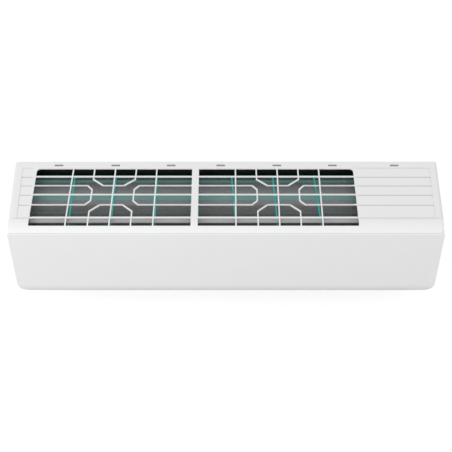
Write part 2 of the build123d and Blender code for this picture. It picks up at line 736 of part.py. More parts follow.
def rear_housing():
    """Moulded chassis: back, scroll, duct ends, rear gutter, hooks, motor cradle, bearing seat."""
    half = housing_half
    inner_half = half - housing_wall
    back = block(-half, half, (back_gap, back_plane), (6.0, 205.0))
    gutter = block(duct_left - 6, duct_right + 6, (back_plane - 1, 26.0), gutter_drops)
    scroll = bent_strip(scroll_path, scroll_bends, 0.0, housing_wall, duct_left - end_wall, duct_right + end_wall)
    floor = block(-half, half, (back_plane, 69.0), (floor_high, floor_low))
    pieces = [back, gutter, scroll, floor]
    for left, right in (left_filter, right_filter):
        for x in (left, right - filter_rail):
            pieces.append(block(x, x + filter_rail, (back_plane - 1, 25.0), (22.3, 25.0)))
    side_wall = [(back_gap, 6.0), (34.0, 6.0), (60.0, 150.0), (60.0, floor_low), (back_gap, floor_low)]
    pieces.append(plate(side_wall, -half, -inner_half))
    pieces.append(plate(side_wall, inner_half, half))
    pieces.append(duct_end(duct_left - end_wall, duct_left))
    pieces.append(duct_end(duct_right, duct_right + end_wall))
    pieces.append(slope_block((duct_left, duct_right), (vane_seat, 91.5), (35.5, 44.5)))
    fan_point = (fan_forward, fan_drop)
    seat_left = duct_left - end_wall - bearing_length
    pieces.append(rod(seat_left, duct_left - 1, fan_point, bearing_radius + 3.0))
    for x in hook_slot_stations:
        hook_half = hook_slot_width / 2 - 0.6
        hook_back = hook_slot_forward - hook_slot_depth / 2 + 0.4
        hook_front = hook_slot_forward + hook_slot_depth / 2 - 0.4
        pieces.append(block(x - hook_half, x + hook_half, (hook_back, hook_front), (0.8, 8.5)))
        pieces.append(block(x - hook_half, x + hook_half, (back_gap, hook_front), (6.0, 8.5)))
    for x in box_arm_stations:
        pieces.append(block(x - 4, x + 4, (back_plane - 1, box_forwards[0]), (box_drops[0], box_drops[0] + 6)))
    for left in cradle_stations():
        cradle = [(back_plane - 0.5, 118.0), (fan_forward, 118.0), (fan_forward, 168.0), (46.0, 205.0)]
        cradle.append((back_plane - 0.5, 205.0))
        wall = plate(cradle, left, left + motor_boss_length)
        pieces.append(wall - rod(left - 1, left + motor_boss_length + 1, fan_point, motor_ring_radius))
    pocket_right = louver_half + 1.5 + end_wall
    pieces.append(slope_block((duct_right, pocket_right), (4.0, 91.5), (26.0, 28.5)))
    pieces.append(slope_block((louver_half + 1.5, pocket_right), (60.0, 91.5), (3.5, 28.0)))
    body = joined(pieces)
    body = body - rod(seat_left - 1, duct_left - end_wall, fan_point, bearing_radius)
    body = body - rod(duct_left - 6, duct_left + 1, fan_point, stub_radius + 3.0)
    body = body - rod(duct_right - 1, duct_right + end_wall + 1, fan_point, shaft_radius + 4.0)
    pivot = mouth(*louver_pivot)
    body = body - rod(duct_left - 10, duct_left + 1, pivot, louver_pin + pin_play)
    body = body - rod(louver_half, pocket_right + 10, pivot, louver_pin + pin_play)
    body = body - rod(duct_right - 1, duct_right + end_wall + 1, pivot, louver_sweep)
    for x in vane_stations():
        body = body - slope_pin(x, vane_axis_inside, (vane_seat - 1, 96.0), 2.0 + pin_play)
    body = body - slope_pin(crank_station, vane_axis_inside, (vane_seat - 1, 98.0), 2.5 + pin_play)
    for x in (-250.0, 250.0):
        body = body - block(x - 16, x + 16, (back_gap - 1, back_plane + 1), (38.0, 50.0))
    for x in cap_stations:
        body = body + upright(x, cap_forward, boss_drops, 5.0)
        body = body - upright(x, cap_forward, (boss_drops[0] + 2.0, case_height), screw_radius)
    return body & corner_mask(case_half - case_wall - 0.8, case_wall + 0.3)


def cradle_stations():
    """Left faces of the two cradle walls under the motor's end bosses."""
    return (motor_span[0] - motor_boss_length, motor_span[1])


def vane_stations():
    """Stations of the swing vanes."""
    return [vane_first + vane_pitch * i for i in range(vane_count)]


# ---- drain pan and outlet wall ------------------------------------------------------------
pan_left = duct_left - 8.0
pan_right = duct_right + 10.0
spigot_point = (140.0, 187.5)


def drain_pan():
    """Front gutter under the coil, the tongue beside the fan, and the outlet's upper wall."""
    outline = [
        (155.5, 181.0), (155.5, 196.0), (148.3, 210.0), mouth(0.5, 7.0), mouth(4.0, 4.0), mouth(5.0, 9.0),
        tongue_tip, (122.0, 177.0), (127.5, 193.5), (153.5, 193.5), (153.5, 181.0),
    ]
    body = plate(outline, duct_left + 0.2, duct_right - 0.2)
    trough = [
        (155.5, 181.0), (155.5, 196.0), (125.5, 196.0), (125.5, 184.0), (127.5, 184.0), (127.5, 193.5),
        (153.5, 193.5), (153.5, 181.0),
    ]
    body = body + plate(trough, pan_left, pan_right)
    for left in (pan_left, pan_right - 2.5):
        body = body + block(left, left + 2.5, (125.5, 155.5), (181.0, 196.0))
    body = body + rod(pan_right, pan_right + 24.0, spigot_point, spigot_radius)
    body = body + rod(pan_left - 9.0, pan_left + 1, spigot_point, spigot_radius)
    body = body - rod(pan_right - 4.0, pan_right + 25.0, spigot_point, spigot_bore)
    return body - rod(pan_left - 10.0, pan_left + 4.0, spigot_point, spigot_bore)


def drain_plug():
    """Rubber plug in the spare spigot at the left end."""
    head = rod(pan_left - 12.0, pan_left - 9.0, spigot_point, spigot_radius + 1.0)
    return head + rod(pan_left - 9.0, pan_left - 2.0, spigot_point, spigot_bore)


# ---- fan, bearing and motor ---------------------------------------------------------------
fan_left = duct_left + 6.0
fan_right = duct_right - 6.0
blade_count = 35


def cross_flow_fan():
    """Long impeller: end discs, middle discs and a ring of curved blades, with its hubs."""
    point = (fan_forward, fan_drop)
    inner_radius = fan_radius * 0.76
    blade = ThreePointArc((inner_radius, 0), (fan_radius * 0.9, 2.4), (fan_radius - 0.4, 7.6))
    back = ThreePointArc((inner_radius, 1.2), (fan_radius * 0.9 - 0.6, 3.5), (fan_radius - 1.5, 8.0))
    caps = Line(blade @ 0, back @ 0) + Line(blade @ 1, back @ 1)
    section = make_face(blade + back + caps)
    ring = Sketch() + [Rot(0, 0, i * 360 / blade_count) * section for i in range(blade_count)]
    length = fan_right - fan_left
    blades = extrude(Plane.YZ * ring, amount=length, dir=(1, 0, 0))
    wheel = at(fan_left, point) * blades
    pieces = [wheel]
    discs = 5
    for i in range(discs):
        left = fan_left + (length - 2.0) * i / (discs - 1)
        disc = rod(left, left + 2.0, point, fan_radius)
        if 0 < i < discs - 1:
            disc = disc - rod(left - 1, left + 3, point, inner_radius - 2.0)
        pieces.append(disc)
    hub = rod(fan_right - 16.0, fan_right + 2.0, point, 12.0)
    pieces.append(hub)
    body = joined(pieces)
    body = body - rod(fan_right - 14.0, fan_right + 3.0, point, shaft_radius)
    return body - rod(fan_left - 1, fan_left + 1.0, point, stub_radius)


def fan_stub():
    """Short steel shaft at the fan's left end."""
    return rod(duct_left - end_wall - bearing_length + 1.0, fan_left + 1.0, (fan_forward, fan_drop), stub_radius)


def bearing_bush():
    """Plain bush in the rubber seat."""
    left = duct_left - end_wall - bearing_length + 1.0
    ring = rod(left, duct_left - end_wall, (fan_forward, fan_drop), stub_radius + 3.0)
    return ring - rod(left - 1, duct_left, (fan_forward, fan_drop), stub_radius + pin_play)


def bearing_seat():
    """Rubber ring that holds the bush in the housing."""
    left = duct_left - end_wall - bearing_length
    ring = rod(left, duct_left - end_wall, (fan_forward, fan_drop), bearing_radius)
    return ring - rod(left - 1, duct_left, (fan_forward, fan_drop), stub_radius + 3.0)


def fan_motor():
    """Resin-packed motor body with a boss at each end, bored for the shaft."""
    point = (fan_forward, fan_drop)
    body = rod(motor_span[0], motor_span[1], point, motor_radius)
    body = fillet(body.edges().filter_by(GeomType.CIRCLE), 5.0)
    bosses = rod(motor_span[0] - motor_boss_length, motor_span[1] + motor_boss_length, point, motor_boss_radius)
    body = body + bosses
    return body - rod(motor_span[0] - 20, motor_span[1] + 20, point, shaft_radius + pin_play)


def motor_shaft():
    """Steel shaft through the motor into the fan's hub."""
    return rod(fan_right - 14.0, motor_span[1] + motor_boss_length + 3.0, (fan_forward, fan_drop), shaft_radius)


def motor_rings():
    """Rubber rings round the motor's end bosses."""
    rings = []
    for left in cradle_stations():
        ring = rod(left, left + motor_boss_length, (fan_forward, fan_drop), motor_ring_radius - 0.05)
        rings.append(ring - rod(left - 1, left + motor_boss_length + 1, (fan_forward, fan_drop), motor_boss_radius))
    return rings


def motor_clamp():
    """Front half of the motor's cradle, with a bridge across the motor."""
    point = (fan_forward, fan_drop)
    pieces = []
    for left in cradle_stations():
        cheek = block(left, left + motor_boss_length, (fan_forward + 0.2, clamp_face), (118.0, 168.0))
        pieces.append(cheek - rod(left - 1, left + motor_boss_length + 1, point, motor_ring_radius))
    bridge = block(cradle_stations()[0], cradle_stations()[1] + motor_boss_length, (123.6, clamp_face), (118.0, 168.0))
    return joined(pieces + [bridge])


# ---- louver and vanes ---------------------------------------------------------------------
def louver():
    """Long horizontal blade that closes the outlet, with end ears and pivot pins."""
    middle = (louver_start + louver_end) / 2
    low_edge = Line((louver_start + 1.5, 0.2), (louver_end - 1.5, 0.2))
    crown = ThreePointArc((louver_end, 2.2), (middle, louver_depth), (louver_start, 2.2))
    rims = Line((louver_start, 2.2), (louver_start + 1.5, 0.2)) + Line((louver_end - 1.5, 0.2), (louver_end, 2.2))
    section = Plane(origin=outlet.origin, x_dir=outlet.y_dir, z_dir=(1, 0, 0))
    face = make_face(section * (low_edge + crown + rims))
    blade = Pos(-louver_half, 0, 0) * extrude(face, amount=2 * louver_half, dir=(1, 0, 0))
    pivot = mouth(*louver_pivot)
    body = blade
    for x in (-louver_half, louver_half - 2.5):
        ear = slope_block((x, x + 2.5), (louver_pivot[0] - 5, louver_pivot[0] + 5), (2.0, louver_pivot[1]))
        body = body + ear + rod(x, x + 2.5, pivot, 5.0)
    body = body + rod(-louver_half - 4.3, -louver_half + 1, pivot, louver_pin)
    return body + rod(louver_half - 1, louver_half + 13.0, pivot, louver_pin)


def swing_foot(x):
    """Pivot pin, foot and link pin shared by the vanes and the crank."""
    hub = slope_pin(x, vane_axis_inside, (vane_seat - 7.0, vane_seat - clearance), 3.4)
    pin = slope_pin(x, vane_axis_inside, (vane_seat - 2.0, 90.5), 2.0)
    link_inside = vane_axis_inside - link_offset
    stud = slope_pin(x, link_inside, (link_along[0] - 1.5, 72.0), 1.5)
    return hub, pin, stud


def swing_vane(x):
    """One air-directing vane: a flat blade with a notch for the link bar and its pins."""
    hub, pin, stud = swing_foot(x)
    half = vane_thickness / 2
    blade = slope_block((x - half, x + half), vane_span, vane_chord)
    corners = blade.edges().filter_by(Axis.X)
    blade = fillet(corners.sort_by(Axis.Z)[-1], 5.0)
    link_inside = vane_axis_inside - link_offset
    notch = slope_block((x - 5, x + 5), (link_along[0] - 3.0, link_along[1] + 2.5), (0, link_inside + 5.0))
    return joined([blade - notch, hub, pin, stud])


def vane_crank():
    """Arm on the vane motor's shaft, with the same throw as the vanes."""
    stud = swing_foot(crank_station)[2]
    link_inside = vane_axis_inside - link_offset
    arm = slope_block((crank_station - 2, crank_station + 2), (70.6, 74.0), (link_inside - 2, vane_axis_inside + 2))
    riser = slope_pin(crank_station, vane_axis_inside, (71.0, vane_seat - clearance), 3.4)
    shaft = slope_pin(crank_station, vane_axis_inside, (vane_seat - 2.0, 95.0), 2.5)
    return joined([arm, riser, shaft, stud])


def vane_link():
    """Bar that joins every vane and the crank."""
    link_inside = vane_axis_inside - link_offset
    ends = (vane_stations()[0] - 6, vane_stations()[-1] + 6)
    bar = slope_block(ends, link_along, (link_inside - 2.5, link_inside + 2.5))
    for x in vane_stations() + [crank_station]:
        bar = bar - slope_pin(x, link_inside, (link_along[0] - 1, link_along[1] + 1), 1.5 + pin_play)
    return bar


def stepper(place, radius, length, shaft_offset):
    """Small round stepper motor with two ears and a cable housing, its shaft at the origin."""
    can = Pos(0, shaft_offset, length / 2) * Cylinder(radius, length)
    ears = Pos(0, shaft_offset, 0.5) * Box(radius * 2 + 12, 7, 1)
    snout = Pos(0, shaft_offset + radius, length / 2) * Box(radius, 5, length - 2)
    return place * (can + ears + snout)


def vane_motor():
    """Stepper behind the duct floor that swings the vanes."""
    place = Plane(
        origin=outlet.from_local_coords((crank_station, 92.2, vane_axis_inside)),
        x_dir=(-1, 0, 0),
        z_dir=outlet.y_dir,
    )
    bore = slope_pin(crank_station, vane_axis_inside, (80.0, 96.0), 2.5 + pin_play)
    return stepper(place, 12.0, 15.0, 0.0) - bore


def louver_motor():
    """Stepper outside the right pocket wall that turns the louver."""
    pivot = mouth(*louver_pivot)
    wall = louver_half + 1.5 + end_wall
    place = Plane(origin=at(wall, pivot).position, x_dir=outlet.y_dir, z_dir=(1, 0, 0))
    return stepper(place, 11.0, 15.0, 8.0) - rod(wall - 5, louver_half + 14.0, pivot, louver_pin + pin_play)


# ---- pipes and sensors --------------------------------------------------------------------
def pipe(points, radius, bends):
    """Round tube along a path of straight runs and bends."""
    path = FilletPolyline(*[at(x, (f, d)).position for x, f, d in points], radius=bends)
    start = path % 0
    section = Plane(origin=path @ 0, z_dir=start) * Circle(radius)
    return sweep(section, path=path)


pipe_end = -60.0
liquid_end = -100.0
suction_run = (24.0, floor_high - 17.4)
liquid_run = (20.0, floor_high - 43.4)


def suction_pipe():
    """Larger copper pipe, from the coil's right end down and along the back channel."""
    points = [(266, 112.0, 52.0), (390, 100.0, 56.0), (390, 20.0, 80.0), (390, *suction_run), (pipe_end, *suction_run)]
    return pipe(points, suction_radius, 18.0)


def liquid_pipe():
    """Smaller copper pipe beside it."""
    points = [(266, 60.0, 52.0), (372, 60.0, 52.0), (372, 18.0, 76.0), (372, *liquid_run), (liquid_end, *liquid_run)]
    return pipe(points, liquid_radius, 14.0)


def flare_unions():
    """Brass male flare unions brazed to the pipe ends."""
    unions = []
    for end, point, thread, bore in (
        (pipe_end, suction_run, suction_thread, suction_radius),
        (liquid_end, liquid_run, liquid_thread, liquid_radius),
    ):
        body = rod(end - 20.0, end, point, thread)
        hexagon = Plane(origin=at(end - 7.0, point).position, z_dir=(1, 0, 0)) * RegularPolygon(thread + 2.5, 6)
        body = body + extrude(hexagon, amount=7.0)
        unions.append(body - rod(end - 21.0, end + 1.0, point, bore * 0.8))
    return unions


def pipe_clamp():
    """Plate that holds both pipes in the back channel."""
    strap = (40.0, 58.0)
    clamp = block(strap[0], strap[1], (back_plane, back_plane + 2.0), (196.0, floor_high))
    for point, radius in ((suction_run, suction_radius), (liquid_run, liquid_radius)):
        reach = radius + 1.8
        forwards = (back_plane + 1.0, point[0] + reach)
        saddle = block(strap[0], strap[1], forwards, (point[1] - reach, point[1] + reach))
        clamp = clamp + saddle
        clamp = clamp - rod(strap[0] - 1, strap[1] + 1, point, radius + 0.1)
    return clamp


def coil_sensor():
    """Copper-cased temperature probe against the outside of the upper slab."""
    point = slab_point("upper", 0.0, slab_thickness + 3.2)
    return rod(coil_right - 60.0, coil_right - 10.0, point, 3.0)


def room_sensor():
    """Air temperature sensor in its plastic holder, on the left wall of the control box."""
    holder = block(box_left - 6.0, box_left, (150.0, 158.0), (60.0, 86.0))
    return holder + rod(box_left - 14.0, box_left - 5.0, (154.0, 73.0), 2.2)


# ---- electrics ----------------------------------------------------------------------------
def control_box():
    """Open-fronted plastic box for the board and the terminals."""
    body = block(box_left, box_right, box_forwards, box_drops)
    inner = (box_forwards[0] + box_wall, box_forwards[1] + 1)
    drops = (box_drops[0] + box_wall, box_drops[1] - box_wall)
    body = body - block(box_left + box_wall, box_right - box_wall, inner, drops)
    return body + block(278.0, 322.0, (clamp_face, box_forwards[0] + 1), (126.0, 160.0))


def box_cover():
    """Pressed lid over the upper part of the control box."""
    forwards = (box_forwards[1], box_forwards[1] + 1.0)
    return block(box_left + 0.5, box_right - 0.5, forwards, (box_drops[0] + 1.0, 118.0))


def control_board():
    """Printed board on the floor of the box."""
    left = box_left + box_wall + 2
    right = box_right - box_wall - 2
    return block(left, right, (board_face - 1.6, board_face), (28.0, 124.0))


def board_components():
    """Capacitor, relays, transformer, chokes and connectors on the board."""
    parts = []
    for x, drop, radius, height in ((290, 48, 11, 18), (316, 44, 6, 16), (330, 44, 6, 16), (372, 113, 5, 12)):
        place = at(x, (board_face, drop)) * Rot(90, 0, 0)
        parts.append(place * Pos(0, 0, height / 2) * Cylinder(radius, height))
    boxes = ((349, 50, 16, 16, 15), (369, 50, 16, 16, 15), (300, 84, 34, 28, 18), (340, 84, 16, 24, 12))
    for x, drop, wide, high, deep in boxes + ((366, 86, 18, 8, 8), (364, 100, 24, 8, 8), (330, 112, 60, 7, 9)):
        forwards = (board_face, board_face + deep)
        parts.append(block(x - wide / 2, x + wide / 2, forwards, (drop - high / 2, drop + high / 2)))
    return parts


def board_posts():
    """Stand-offs under the board."""
    posts = []
    for x in (box_left + 12, box_right - 12):
        for drop in (34.0, 118.0):
            posts.append(block(x - 3, x + 3, (box_forwards[0] + 1, board_face - 1.6), (drop - 3, drop + 3)))
    return posts


def terminal_block():
    """Five-way terminal block, with its barriers."""
    base = block(300.0, 372.0, (box_forwards[0] + box_wall, 146.0), (132.0, 154.0))
    for i in range(6):
        x = 301.0 + i * 14.0
        base = base + block(x - 1, x + 1, (146.0, 152.0), (132.0, 154.0))
    return base


def terminal_screws():
    """Terminal screws, one pair for each way."""
    screws = []
    for i in range(5):
        for drop in (138.0, 148.0):
            screws.append(at(308.0 + i * 14.0, (148.0, drop)) * Rot(90, 0, 0) * Cylinder(3.0, 4.0))
    return screws


def terminal_cover():
    """Flame-proof cover over the terminals."""
    forwards = (box_forwards[1], box_forwards[1] + 1.0)
    return block(box_left + 0.5, box_right - 0.5, forwards, (119.0, box_drops[1] - 1.0))


def cord_clamp():
    """Saddle with two screws that grips the supply cable."""
    saddle = block(318.0, 354.0, (140.0, 144.0), (158.0, 166.0))
    for x in (320.0, 352.0):
        saddle = saddle + block(x - 3, x + 3, (box_forwards[0] + box_wall, 141.0), (158.0, 166.0))
    return saddle


def display_board():
    """Receiver and display board in its holder, behind the panel's lower right."""
    holder = block(display_span[0], display_span[1], display_forwards, display_drops)
    for x in (display_span[0] + 4, display_span[1] - 48):
        holder = holder + block(x - 2, x + 2, (display_forwards[1] - 1, 159.0), (186.0, 189.0))
    hole = at(button_station, (display_forwards[0], button_drop)) * Rot(90, 0, 0)
    return holder - hole * Cylinder(button_radius + clearance, 30.0)


def emergency_button():
    """Small button that is pressed inward with the panel open."""
    length = button_forwards[1] - button_forwards[0]
    middle = at(button_station, ((button_forwards[0] + button_forwards[1]) / 2, button_drop))
    return middle * Rot(90, 0, 0) * Cylinder(button_radius, length)


# ---- wall plate and fasteners -------------------------------------------------------------
def wall_plate():
    """Pressed steel plate with screw holes, windows and two hooks for the housing."""
    sheet = block(-plate_half, plate_half, (0.0, plate_gauge), (plate_top, case_height - plate_low_edge))
    middle_drop = top_z
    for pitch in (plate_outer_pitch, plate_inner_pitch):
        for x in (-pitch / 2, pitch / 2):
            for drop in (middle_drop - plate_rows_pitch / 2, middle_drop + plate_rows_pitch / 2):
                sheet = sheet - at(x, (0.0, drop)) * Rot(90, 0, 0) * Cylinder(plate_screw_radius, 10.0)
    for x in (-220.0, 220.0):
        sheet = sheet - block(x - 55, x + 55, (-1, 3), (middle_drop - 35, middle_drop + 35))
    for x in (-250.0, 250.0):
        sheet = sheet - block(x - 14, x + 14, (-1, 3), (51.0, 62.0))
        hook = [(0.0, 50.0), (0.0, 51.2), (8.6, 48.2), (8.6, 41.5), (7.4, 41.5), (7.4, 47.0)]
        sheet = sheet + plate(hook, x - 13, x + 13)
    return sheet


def casing_screws():
    """Screws up through the casing's underside into the housing."""
    screws = []
    for x in cap_stations:
        head_drops = (case_height - cap_thickness - screw_head_height, case_height - cap_thickness)
        shank = upright(x, cap_forward, (boss_drops[0] + 8.0, head_drops[1]), screw_radius)
        screws.append(shank + upright(x, cap_forward, head_drops, screw_head_radius))
    return screws


def screw_caps():
    """Small round covers over the casing screws."""
    caps = []
    for x in cap_stations:
        caps.append(upright(x, cap_forward, (case_height - cap_thickness, case_height), cap_radius))
    return caps


# ---- every node ---------------------------------------------------------------------------
def group(shapes):
    """Several separate solids in one node."""
    return Compound(children=list(shapes))


nodes = {
    "front_casing": front_casing(),
    "front_panel": group(front_panel()),
    "filter_frame_left": filter_frame(left_filter, left_filter_ribs),
    "filter_mesh_left": filter_mesh(left_filter),
    "filter_frame_right": filter_frame(right_filter, right_filter_ribs),
    "filter_mesh_right": filter_mesh(right_filter),
    "coil_fins_rear": fin_pack("rear"),
    "coil_fins_upper": fin_pack("upper"),
    "coil_fins_lower": fin_pack("lower"),
    "coil_end_plates": group(coil_end_plates()),
    "coil_tubes": group(coil_tubes()),
    "return_bends": group(return_bends()),
    "rear_housing": rear_housing(),
    "drain_pan": drain_pan(),
    "drain_plug": drain_plug(),
    "cross_flow_fan": cross_flow_fan(),
    "fan_stub": fan_stub(),
    "bearing_bush": bearing_bush(),
    "bearing_seat": bearing_seat(),
    "fan_motor": fan_motor(),
    "motor_shaft": motor_shaft(),
    "motor_rings": group(motor_rings()),
    "motor_clamp": motor_clamp(),
    "louver": louver(),
    "louver_motor": louver_motor(),
    "vane_crank": vane_crank(),
    "vane_link": vane_link(),
    "vane_motor": vane_motor(),
    "suction_pipe": suction_pipe(),
    "liquid_pipe": liquid_pipe(),
    "flare_unions": group(flare_unions()),
    "pipe_clamp": pipe_clamp(),
    "coil_sensor": coil_sensor(),
    "room_sensor": room_sensor(),
    "control_box": joined([control_box()] + board_posts()),
    "box_cover": box_cover(),
    "control_board": control_board(),
    "board_components": group(board_components()),
    "terminal_block": terminal_block(),
    "terminal_screws": group(terminal_screws()),
    "terminal_cover": terminal_cover(),
    "cord_clamp": cord_clamp(),
    "display_board": display_board(),
    "emergency_button": emergency_button(),
    "wall_plate": wall_plate(),
    "casing_screws": group(casing_screws()),
    "screw_caps": group(screw_caps()),
}
for number, station in enumerate(vane_stations(), start=1):
    nodes[f"vane_{number:02d}"] = swing_vane(station)
for name, shape in nodes.items():
    export_step(shape, f"parts/{name}.step")
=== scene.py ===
import bpy
import numpy as np
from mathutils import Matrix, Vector


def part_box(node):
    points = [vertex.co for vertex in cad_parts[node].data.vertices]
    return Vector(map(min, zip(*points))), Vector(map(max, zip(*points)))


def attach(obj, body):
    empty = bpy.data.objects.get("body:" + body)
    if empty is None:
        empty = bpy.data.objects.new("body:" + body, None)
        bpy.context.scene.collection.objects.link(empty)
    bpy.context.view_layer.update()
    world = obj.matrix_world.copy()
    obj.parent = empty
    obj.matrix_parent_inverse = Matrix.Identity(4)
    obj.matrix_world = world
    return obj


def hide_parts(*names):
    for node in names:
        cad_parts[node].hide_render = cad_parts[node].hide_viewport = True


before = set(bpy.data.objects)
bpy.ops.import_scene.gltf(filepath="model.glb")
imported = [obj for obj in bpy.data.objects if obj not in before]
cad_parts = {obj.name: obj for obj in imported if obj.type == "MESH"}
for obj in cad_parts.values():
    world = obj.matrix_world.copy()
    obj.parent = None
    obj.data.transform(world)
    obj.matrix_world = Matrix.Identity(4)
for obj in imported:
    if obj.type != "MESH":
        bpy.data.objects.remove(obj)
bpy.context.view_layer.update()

# ---- camera and light ---------------------------------------------------------------------
# The unit is seen from in front and well above, square on, from about three metres away.
camera = bpy.data.objects.new("camera", bpy.data.cameras.new("camera"))
camera.data.lens = 114.5
camera.location = (0.0, -1.9711, 2.21635)
camera.rotation_mode = "QUATERNION"
camera.rotation_quaternion = Vector((0.0, 0.6561, -0.7547)).to_track_quat("-Z", "Y")
bpy.context.scene.collection.objects.link(camera)
bpy.context.scene.camera = camera
bpy.context.scene.view_settings.view_transform = "Standard"


class Amount:
    """A shader value that can be used in sums like a number."""

    def __init__(self, finish, socket):
        self.finish = finish
        self.socket = socket

    def _with(self, operation, first, second):
        return self.finish.add("ShaderNodeMath", {"operation": operation}, {0: first, 1: second})

    def __add__(self, other):
        return self._with("ADD", self, other)

    def __sub__(self, other):
        return self._with("SUBTRACT", self, other)

    def __rsub__(self, other):
        return self._with("SUBTRACT", other, self)

    def __mul__(self, other):
        return self._with("MULTIPLY", self, other)

    def __truediv__(self, other):
        return self._with("DIVIDE", self, other)

    def __mod__(self, other):
        return self._with("FLOORED_MODULO", self, other)

    def __abs__(self):
        return self._with("ABSOLUTE", self, 0.0)

    def __gt__(self, other):
        return self._with("GREATER_THAN", self, other)

    def __lt__(self, other):
        return self._with("LESS_THAN", self, other)

    __radd__ = __add__
    __rmul__ = __mul__


class Finish:
    """A surface finish: one Principled shader, and the nodes that feed it."""

    def __init__(self, name, constants):
        self.material = bpy.data.materials.new(name)
        self.material.use_nodes = True
        self.tree = self.material.node_tree
        self.shader = self.tree.nodes["Principled BSDF"]
        for socket, value in constants.items():
            self.shader.inputs[socket].default_value = value

    def add(self, kind, settings, inputs, output=0):
        """A node of a type, with its settings and the values or links of its sockets."""
        node = self.tree.nodes.new(kind)
        for setting, value in settings.items():
            if setting == "stops":
                while len(node.color_ramp.elements) < len(value):
                    node.color_ramp.elements.new(1.0)
                for stop, (place, colour) in zip(node.color_ramp.elements, value):
                    stop.position = place
                    stop.color = (*colour, 1.0)
            else:
                setattr(node, setting, value)
        for socket, value in inputs.items():
            if isinstance(value, Amount):
                self.tree.links.new(value.socket, node.inputs[socket])
            else:
                node.inputs[socket].default_value = value
        return Amount(self, node.outputs[output])

    def place(self):
        """Where a point is on the object, in metres."""
        return self.add("ShaderNodeTexCoord", {}, {}, "Object")

    def axes(self):
        """The three coordinates of a point, apart."""
        split = self.add("ShaderNodeSeparateXYZ", {}, {0: self.place()})
        return [Amount(self, output) for output in split.socket.node.outputs]

    def cloud(self, scale, detail=3.0, stretch=(1.0, 1.0, 1.0)):
        """Soft noise from 0 to 1, with so many cells in a metre."""
        mapped = self.add("ShaderNodeMapping", {}, {"Vector": self.place(), "Scale": stretch})
        sockets = {"Vector": mapped, "Scale": scale, "Detail": detail}
        return self.add("ShaderNodeTexNoise", {"noise_dimensions": "3D"}, sockets)

    def blend(self, factor, low, high):
        """A colour between two."""
        ramp = [(0.0, low), (1.0, high)]
        return self.add("ShaderNodeValToRGB", {"stops": ramp}, {"Fac": factor}, "Color")

    def feed(self, socket, value):
        """Gives one of the shader's sockets a varying value."""
        self.tree.links.new(value.socket, self.shader.inputs[socket])

    def relief(self, height, depth):
        """Bumps of a depth in metres."""
        sockets = {"Height": height, "Distance": depth, "Strength": 1.0}
        self.feed("Normal", self.add("ShaderNodeBump", {}, sockets))

    def wear(self, nodes):
        """Puts the finish on CAD nodes."""
        for name in nodes:
            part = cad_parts[name]
            part.data.materials.clear()
            part.data.materials.append(self.material)


def softbox(name, place, aim, size, power):
    """Square area lamp at a place, turned towards a point."""
    lamp = bpy.data.lights.new(name, "AREA")
    lamp.size = size
    lamp.energy = power
    holder = bpy.data.objects.new(name, lamp)
    holder.location = place
    holder.rotation_mode = "QUATERNION"
    holder.rotation_quaternion = (Vector(aim) - Vector(place)).to_track_quat("-Z", "Y")
    bpy.context.scene.collection.objects.link(holder)


softbox("lamp_left", (-1.9, -2.0, 1.45), (0, 0, 0), 1.6, 27.0)
softbox("lamp_right", (1.9, -1.9, 1.2), (0, 0, 0), 1.4, 6.0)

world = bpy.data.worlds.new("studio")
bpy.context.scene.world = world
world.use_nodes = True
sky = world.node_tree
sky.nodes["Background"].inputs["Color"].default_value = (1.0, 1.0, 1.0, 1.0)
sky.nodes["Background"].inputs["Strength"].default_value = 0.74
seen = sky.nodes.new("ShaderNodeBackground")
seen.inputs["Color"].default_value = (1.0, 1.0, 1.0, 1.0)
seen.inputs["Strength"].default_value = 1.0
path = sky.nodes.new("ShaderNodeLightPath")
mirrored = sky.nodes.new("ShaderNodeMath")
mirrored.operation = "MAXIMUM"
sky.links.new(path.outputs["Is Glossy Ray"], mirrored.inputs[0])
sky.links.new(path.outputs["Is Transmission Ray"], mirrored.inputs[1])
straight = sky.nodes.new("ShaderNodeMath")
straight.operation = "MAXIMUM"
sky.links.new(path.outputs["Is Camera Ray"], straight.inputs[0])
sky.links.new(mirrored.outputs[0], straight.inputs[1])
choice = sky.nodes.new("ShaderNodeMixShader")
sky.links.new(straight.outputs[0], choice.inputs[0])
sky.links.new(sky.nodes["Background"].outputs[0], choice.inputs[1])
sky.links.new(seen.outputs[0], choice.inputs[2])
sky.links.new(choice.outputs[0], sky.nodes["World Output"].inputs["Surface"])

# The floor lies a little under the unit, so that the louver swings down clear of it.
floor_size = 6.0
floor_drop = -0.18
floor_mesh = bpy.data.meshes.new("studio_floor")
corners = [(-1, -1), (1, -1), (1, 1), (-1, 1)]
spread = [(x * floor_size, y * floor_size, floor_drop) for x, y in corners]
floor_mesh.from_pydata(spread, [], [(0, 1, 2, 3)])
floor = bpy.data.objects.new("studio_floor", floor_mesh)
bpy.context.scene.collection.objects.link(floor)
paper = Finish("floor_paper", {"Roughness": 0.9, "Base Color": (0.6, 0.6, 0.6, 1.0)})
lit = paper.add("ShaderNodeLightPath", {}, {}, "Is Camera Ray")
glow = paper.add("ShaderNodeEmission", {}, {"Color": (1.0, 1.0, 1.0, 1.0), "Strength": 0.58})
plain = Amount(paper, paper.shader.outputs[0])
both = paper.add("ShaderNodeAddShader", {}, {0: plain, 1: glow})
shown = paper.add("ShaderNodeMixShader", {}, {0: lit, 1: plain, 2: both})
paper.tree.links.new(shown.socket, paper.tree.nodes["Material Output"].inputs["Surface"])
floor_mesh.materials.append(paper.material)

